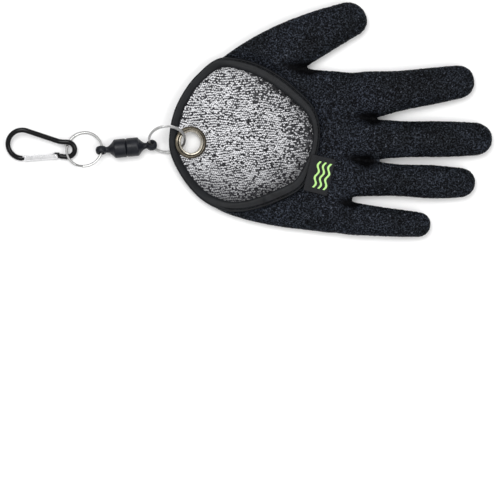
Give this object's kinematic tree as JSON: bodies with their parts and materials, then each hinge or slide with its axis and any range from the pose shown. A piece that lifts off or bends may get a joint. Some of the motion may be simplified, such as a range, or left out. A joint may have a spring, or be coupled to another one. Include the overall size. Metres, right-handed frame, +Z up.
{
  "type": "fishing glove with a tether",
  "caption": "Right-hand latex-coated landing glove, palm down, bound wrist opening with an eyelet, magnetic release tether, two split rings and a spring clip.",
  "frame": {"origin": "middle of the footprint of glove and tether, on the table that they lie on", "axes": "+X from the clip to the fingertips, +Y to the thumb side, +Z up from the table"},
  "size_m": [0.404, 0.1952, 0.024],
  "materials": {
    "latex": "crinkled matt black latex with fine light flecks",
    "knit": "grey melange knit",
    "tape": "smooth black bias tape",
    "woven": "black woven label with a plain light green pattern",
    "old_nickel": "dark antique nickel",
    "nickel": "bright nickel plate",
    "moulded": "satin black",
    "anodised": "glossy black",
    "bare_aluminium": "satin"
  },
  "bodies": {
    "root": {"glove_shell": "latex", "glove_fingers": "latex", "knit_liner": "knit", "edge_binding": "tape", "label_tab": "woven", "eyelet_flange": "old_nickel", "eyelet_washer": "old_nickel", "split_ring_glove": "nickel", "split_ring_clip": "nickel", "release_half_glove": "moulded", "release_half_clip": "moulded", "clip_body": "anodised"},
    "gate": {"clip_gate": "bare_aluminium"}
  },
  "joints": [
    {"name": "gate_hinge", "type": "hinge", "parent": "root", "child": "gate", "pos_m": [-0.16044, -0.03002, 0.00306], "axis": [0, 0.3007, -0.9537], "range_deg": [0, 35], "stiffness_Nm_per_rad": 0.05, "springref_deg": -8.59}
  ]
}
